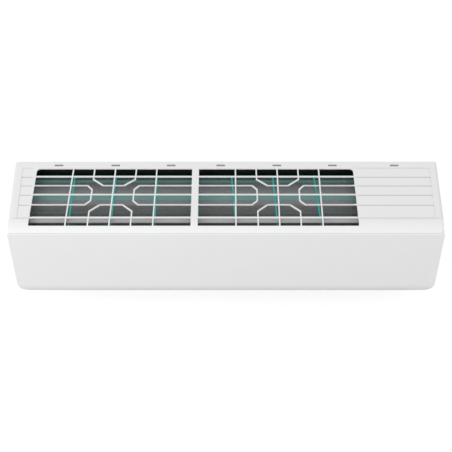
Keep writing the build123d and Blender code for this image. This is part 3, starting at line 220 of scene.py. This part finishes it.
# ---- white casing and its screw caps ------------------------------------------------------
# One injection moulding in white plastic with a fine spark-eroded skin. A shallow recess in its
# top holds the grille, with a blank strip at each side. Two greys are painted by place, as the
# photo shows them, and both are painted shade: on the ledge deep in front of the grille, and on
# the lines and recess edge of the blank strips.
casing_top = 0.14425
ledge_reach = (-0.15, 0.11, 0.1385)     # front limit (y), and the ledge's low and high limits (z)
grille_half = 0.4
strip_ends = (-0.3805, 0.256)           # the blank strips lie past these stations
strip_front = -0.152
strip_half = 0.404
recess_half = 0.4025
recess_back = -0.0173
recess_edge = 0.0008
groove_levels = (0.142, 0.1432)
recess_levels = (0.1435, 0.1441)
casing_white = Finish("casing_white", {"IOR": 1.46})
grain = casing_white.cloud(2600.0, 2.0)
drift = casing_white.cloud(7.0, 2.0)
white = casing_white.blend(drift, (0.885, 0.885, 0.892), (0.905, 0.905, 0.91))
x, y, z = casing_white.axes()
# Painted shade: the ledge under the grille's front lies in shade, and is painted grey.
ledge = (z > ledge_reach[1]) * (z < ledge_reach[2]) * (abs(x) < grille_half) * (y > ledge_reach[0])
ledge_shade_mix = {"Fac": ledge, "Color1": white, "Color2": (0.48, 0.48, 0.485, 1.0)}
white_with_ledge_shade = casing_white.add("ShaderNodeMixRGB", {}, ledge_shade_mix, "Color")
beside = (x > strip_ends[1]) + (x < strip_ends[0])
strips = (abs(x) < strip_half) * beside * (y > strip_front)
# Painted shade: the grooves and the recess edge on the blank strips are painted a darker grey.
groove_shade = strips * (z < groove_levels[1]) * (z > groove_levels[0])
rim = (abs(abs(x) - recess_half) < recess_edge) + (abs(y - recess_back) < recess_edge)
recess = strips * (z < recess_levels[1]) * (z > recess_levels[0]) * rim
groove_shade_mix = {"Fac": groove_shade + recess, "Color1": white_with_ledge_shade, "Color2": (0.4, 0.4, 0.41, 1.0)}
casing_white.feed("Base Color", casing_white.add("ShaderNodeMixRGB", {}, groove_shade_mix, "Color"))
casing_white.feed("Roughness", 0.4 + grain * 0.1 + drift * 0.05)
casing_white.relief(grain, 0.00004)
casing_white.wear(["front_casing", "screw_caps"])

# ---- front panel and louver ---------------------------------------------------------------
# Smooth semi-gloss white covers. The panel is flat in front, curls under, and wraps the casing's
# ends by a thin return. The louver is the same plastic.
panel_white = Finish("panel_white", {"IOR": 1.48})
ripple = panel_white.cloud(9.0, 1.5)
speck = panel_white.cloud(1800.0, 2.0)
gloss_white = panel_white.blend(ripple, (0.905, 0.905, 0.915), (0.925, 0.925, 0.937))
panel_white.feed("Base Color", gloss_white)
panel_white.feed("Roughness", 0.24 + ripple * 0.08 + speck * 0.04)
panel_white.relief(ripple * 0.8 + speck * 0.2, 0.00003)
panel_white.wear(["front_panel", "louver"])

# ---- filters ------------------------------------------------------------------------------
# Two teal frames slide in over the coil from the front. Each holds a fine net that was moulded
# into it; the net arches over the coil with the frame.
filter_teal = Finish("filter_teal", {"IOR": 1.45})
tint = filter_teal.cloud(26.0, 3.0)
fleck = filter_teal.cloud(1500.0, 2.0)
filter_teal.feed("Base Color", filter_teal.blend(tint, (0.02, 0.42, 0.36), (0.04, 0.52, 0.45)))
filter_teal.feed("Roughness", 0.42 + fleck * 0.14)
filter_teal.relief(fleck, 0.00004)
filter_teal.wear(["filter_frame_left", "filter_frame_right"])

# The frame's side view as (forward, drop) corners, with the bend radius at each inner corner.
filter_corners = np.array([(0.0200, 0.0205), (0.1360, 0.0250), (0.1650, 0.0500), (0.1556, 0.1807)])
filter_bend = 0.030
arc_points = 12
net_ends = (0.0225, 0.172)      # where it meets the rear rail (forward) and the front one (drop)
net_sides = {"left": (-0.3816, -0.0666), "right": (-0.0534, 0.2576)}
net_step = 0.002
net_columns = 60
wire_pitch = 0.0011


def filter_line(step):
    """Points along the filter's side view: straight runs joined by arcs that touch both.

    An arc of radius r at a corner starts r * tan(turn / 2) before it, and its points lie on
    centre + r * (cos a, sin a).
    """
    line = [filter_corners[0]]
    for before, corner, after in zip(filter_corners, filter_corners[1:], filter_corners[2:]):
        arriving = (corner - before) / np.linalg.norm(corner - before)
        leaving = (after - corner) / np.linalg.norm(after - corner)
        turn = np.arctan2(arriving[0] * leaving[1] - arriving[1] * leaving[0], arriving @ leaving)
        start = corner - arriving * filter_bend * np.tan(turn / 2)
        centre = start + filter_bend * np.array([-arriving[1], arriving[0]])
        angles = np.arctan2(arriving[1], arriving[0]) - np.pi / 2 + np.linspace(0, turn, arc_points)
        line.extend(centre + filter_bend * np.stack([np.cos(a), np.sin(a)]) for a in angles)
    line.append(filter_corners[-1])
    line = np.array(line)
    run = np.concatenate([[0], np.cumsum(np.linalg.norm(np.diff(line, axis=0), axis=1))])
    places = np.arange(0, run[-1], step)
    return places, np.stack([np.interp(places, run, line[:, i]) for i in (0, 1)], axis=1)


def net_ribbon(name, left, right):
    """Net between two stations: the filter's side view carried along X, with a UV in metres."""
    run, line = filter_line(net_step)
    inside = (line[:, 0] > net_ends[0]) & (line[:, 1] < net_ends[1])
    run, line = run[inside], line[inside]
    stations = np.linspace(left, right, net_columns)
    rows, columns = len(run), len(stations)
    points = np.empty((rows, columns, 3))
    points[..., 0] = stations[None, :]
    points[..., 1] = -line[:, None, 0]
    points[..., 2] = casing_top - line[:, None, 1]
    first = (np.arange(rows - 1)[:, None] * columns + np.arange(columns - 1)[None, :]).ravel()
    faces = np.stack([first, first + 1, first + columns + 1, first + columns], axis=1)
    mesh = bpy.data.meshes.new(name)
    mesh.from_pydata(points.reshape(-1, 3).tolist(), [], faces.tolist())
    weave = mesh.uv_layers.new(name="weave")
    places = np.stack([np.broadcast_to(stations[None, :], (rows, columns)),
                       np.broadcast_to(run[:, None], (rows, columns))], axis=2).reshape(-1, 2)
    weave.data.foreach_set("uv", places[faces.ravel()].ravel())
    mesh.polygons.foreach_set("use_smooth", [True] * len(mesh.polygons))
    piece = bpy.data.objects.new(name, mesh)
    bpy.context.scene.collection.objects.link(piece)
    return piece


filter_net = Finish("filter_net", {})
woven = filter_net.add("ShaderNodeUVMap", {"uv_map": "weave"}, {})
across = filter_net.add("ShaderNodeSeparateXYZ", {}, {0: woven})
u, v = [Amount(filter_net, output) for output in across.socket.node.outputs[:2]]
# Along U and along V the wires are humps, one to a pitch. The net is open where both are lower
# than wire_edge.
wire_edge = 0.45
open_alpha = 0.1
wire_alpha_gain = 0.85
hump_u = abs((u / wire_pitch) % 1.0 - 0.5) * 2.0
hump_v = abs((v / wire_pitch) % 1.0 - 0.5) * 2.0
wires = filter_net.add("ShaderNodeMath", {"operation": "MAXIMUM"}, {0: hump_u, 1: hump_v})
dust = filter_net.cloud(60.0, 4.0)
# The net's grey is painted along its run as the photo shows it: painted light and shade, lightest
# where the grille lets most light in and darkest at both ends, where the casing shades it. Where
# the run passes the frame's two wide cross ribs, half of the colour is their teal.
net_run = 0.25
rib_runs = ((0.0113, 0.0167), (0.0524, 0.0616))
light_and_shade_tones = [(0.0, 0.05), (0.06, 0.1), (0.14, 0.21), (0.2, 0.3),
         (0.3, 0.28), (0.33, 0.16), (0.42, 0.1), (1.0, 0.1)]
stops = [(place, (tone, tone * 1.04, tone * 1.05)) for place, tone in light_and_shade_tones]
along = {"Fac": v / net_run + dust * 0.03}
net_light_and_shade = filter_net.add("ShaderNodeValToRGB", {"stops": stops}, along, "Color")
rear_rib, front_rib = [(v > start) - (v > end) for start, end in rib_runs]
rib_mix = {"Fac": (rear_rib + front_rib) * 0.5, "Color1": net_light_and_shade, "Color2": (0.07, 0.44, 0.4, 1.0)}
filter_net.feed("Base Color", filter_net.add("ShaderNodeMixRGB", {}, rib_mix, "Color"))
filter_net.feed("Roughness", 0.6 + dust * 0.2)
filter_net.feed("Alpha", (wires > wire_edge) * wire_alpha_gain + open_alpha)
filter_net.relief(wires, 0.0001)
for side, (left, right) in net_sides.items():
    net = net_ribbon("net_" + side, left, right)
    net.data.materials.append(filter_net.material)
    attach(net, "unit")
    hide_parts("filter_mesh_" + side)

# ---- evaporator coil ----------------------------------------------------------------------
# Three packs of thin aluminium fins, bent round the fan, on copper hairpins that are joined by
# return bends at the right. Each end has a galvanised plate.
fan_centre = np.array([-0.080, 0.00125])
slab_inner = 0.051
slab_deep = 0.022
slabs = {"rear": (np.radians(138.0), -0.023, 0.056), "upper": (np.radians(40.0), -0.058, 0.005),
         "lower": (0.0, -0.026, 0.040)}
fin_pitch = 0.0018
fin_gauge = 0.00025


def fin_stack(name, turn, start, end, left, right):
    """Upright fins at an even pitch along X: each is the slab's rectangle, given a thickness.

    turn is how far the slab's outward direction stands above the direction to the room.
    """
    out = np.array([-np.cos(turn), np.sin(turn)])
    down = np.array([-np.sin(turn), -np.cos(turn)])
    reach = np.array([slab_inner, slab_inner, slab_inner + slab_deep, slab_inner + slab_deep])
    run = np.array([start, end, end, start])
    yz = fan_centre + reach[:, None] * out + run[:, None] * down
    stations = np.arange(left, right - fin_gauge, fin_pitch)
    xs = stations[:, None, None] + np.array([0.0, fin_gauge])[None, :, None]
    shape = (len(stations), 2, 4)
    points = np.empty(shape + (3,))
    points[..., 0] = np.broadcast_to(xs, shape)
    points[..., 1] = yz[:, 0]
    points[..., 2] = yz[:, 1]
    quads = [(0, 3, 2, 1), (4, 5, 6, 7), (0, 1, 5, 4), (1, 2, 6, 5), (2, 3, 7, 6), (3, 0, 4, 7)]
    faces = (np.arange(len(stations))[:, None, None] * 8 + np.array(quads)).reshape(-1, 4)
    mesh = bpy.data.meshes.new(name)
    mesh.from_pydata(points.reshape(-1, 3).tolist(), [], faces.tolist())
    mesh.validate()
    piece = bpy.data.objects.new(name, mesh)
    bpy.context.scene.collection.objects.link(piece)
    return piece


fin_metal = Finish("fin_aluminium", {"Metallic": 1.0})
smear = fin_metal.cloud(30.0, 3.0, (1.0, 1.0, 0.2))
fin_metal.feed("Base Color", fin_metal.blend(smear, (0.52, 0.56, 0.58), (0.68, 0.71, 0.72)))
fin_metal.feed("Roughness", 0.3 + smear * 0.2)
for slab, (turn, start, end) in slabs.items():
    low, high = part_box("coil_fins_" + slab)
    fins = fin_stack("fins_" + slab, turn, start, end, low[0], high[0])
    fins.data.materials.append(fin_metal.material)
    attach(fins, "unit")
    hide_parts("coil_fins_" + slab)

copper = Finish("copper_tube", {"Metallic": 1.0})
tarnish = copper.cloud(45.0, 4.0)
copper.feed("Base Color", copper.blend(tarnish, (0.52, 0.21, 0.11), (0.78, 0.4, 0.26)))
copper.feed("Roughness", 0.24 + tarnish * 0.22)
copper.relief(tarnish, 0.00003)
copper.wear(["coil_tubes", "return_bends", "suction_pipe", "liquid_pipe", "coil_sensor"])

galvanised = Finish("galvanised_sheet", {"Metallic": 1.0})
cells = {"Vector": galvanised.place(), "Scale": 160.0}
spangle = galvanised.add("ShaderNodeTexVoronoi", {}, cells, "Color")
patch = galvanised.add("ShaderNodeSeparateColor", {}, {0: spangle})
haze = galvanised.cloud(20.0, 3.0)
zinc = patch * 0.6 + haze * 0.4
galvanised.feed("Base Color", galvanised.blend(zinc, (0.46, 0.48, 0.5), (0.66, 0.68, 0.69)))
galvanised.feed("Roughness", 0.32 + patch * 0.14)
galvanised.wear(["coil_end_plates", "wall_plate", "louver_motor", "vane_motor",
                 "box_cover", "terminal_cover"])

# ---- chassis, drain pan, electrical box ---------------------------------------------------
# Grey and white mouldings in flame-retardant plastic, with a coarser skin than the casing's. The
# rubber pieces, the fan and the components on the board have the same kind of skin.
def chassis_skin(name, rough):
    """Moulded plastic without its colour, and the cloud of its skin."""
    finish = Finish(name, {"IOR": 1.47})
    skin = finish.cloud(1400.0, 2.0)
    finish.feed("Roughness", rough + skin * 0.15)
    finish.relief(skin, 0.00006)
    return finish, skin


def chassis_plastic(name, dark, light, rough):
    """Plain moulded plastic between two near shades."""
    finish, skin = chassis_skin(name, rough)
    blotch = finish.cloud(12.0, 3.0)
    finish.feed("Base Color", finish.blend(blotch * 0.8 + skin * 0.2, dark, light))
    return finish


# The hooks that stand in the casing's slots show lighter than the rest in the photo. They reach
# the light tone 2.5 mm above their foot.
hook_foot = 0.1355
hook_rise = 400.0
# Painted shade: below the hooks' tops the housing is painted darker, down to near black, for the
# shade inside the unit.
chassis_grey = chassis_skin("chassis_grey", 0.5)[0]
hooks = (chassis_grey.axes()[2] - hook_foot) * hook_rise + chassis_grey.cloud(40.0) * 0.03
chassis_grey.feed("Base Color", chassis_grey.blend(hooks, (0.013, 0.013, 0.014), (0.3, 0.3, 0.3)))
chassis_grey.wear(["rear_housing", "motor_clamp", "pipe_clamp"])
chassis_plastic("pan_white", (0.55, 0.56, 0.56), (0.62, 0.63, 0.63), 0.45).wear(["drain_pan"])
chassis_plastic("box_plastic", (0.5, 0.51, 0.5), (0.58, 0.58, 0.57), 0.45).wear(
    ["control_box", "cord_clamp", "display_board", "room_sensor", "fan_motor"])
chassis_plastic("vane_grey", (0.045, 0.048, 0.05), (0.07, 0.073, 0.075), 0.42).wear(
    ["vane_crank", "vane_link", "emergency_button"] + [f"vane_{i:02d}" for i in range(1, 11)])
chassis_plastic("fan_plastic", (0.018, 0.019, 0.02), (0.032, 0.033, 0.034), 0.38).wear(
    ["cross_flow_fan"])
chassis_plastic("black_rubber", (0.012, 0.012, 0.012), (0.022, 0.022, 0.022), 0.7).wear(
    ["drain_plug", "bearing_seat", "motor_rings"])
chassis_plastic("component_black", (0.02, 0.02, 0.022), (0.04, 0.04, 0.042), 0.3).wear(
    ["board_components", "terminal_block"])
chassis_plastic("board_green", (0.012, 0.09, 0.03), (0.02, 0.13, 0.045), 0.3).wear(
    ["control_board"])

# ---- turned metal -------------------------------------------------------------------------
# Steel shafts and screws, brass flare unions, and a sintered bronze bush. They are bright, with
# fine rings round them.
def turned_metal(name, dark, light, rough):
    """Metal with fine rings from the lathe."""
    finish = Finish(name, {"Metallic": 1.0})
    rings = finish.cloud(500.0, 2.0, (6.0, 1.0, 1.0))
    finish.feed("Base Color", finish.blend(rings, dark, light))
    finish.feed("Roughness", rough + rings * 0.15)
    finish.relief(rings, 0.00003)
    return finish


turned_metal("ground_steel", (0.48, 0.48, 0.49), (0.64, 0.64, 0.65), 0.22).wear(
    ["fan_stub", "motor_shaft", "terminal_screws", "casing_screws"])
turned_metal("flare_brass", (0.58, 0.42, 0.16), (0.76, 0.58, 0.27), 0.2).wear(["flare_unions"])
turned_metal("bush_bronze", (0.36, 0.23, 0.1), (0.46, 0.31, 0.15), 0.4).wear(["bearing_bush"])
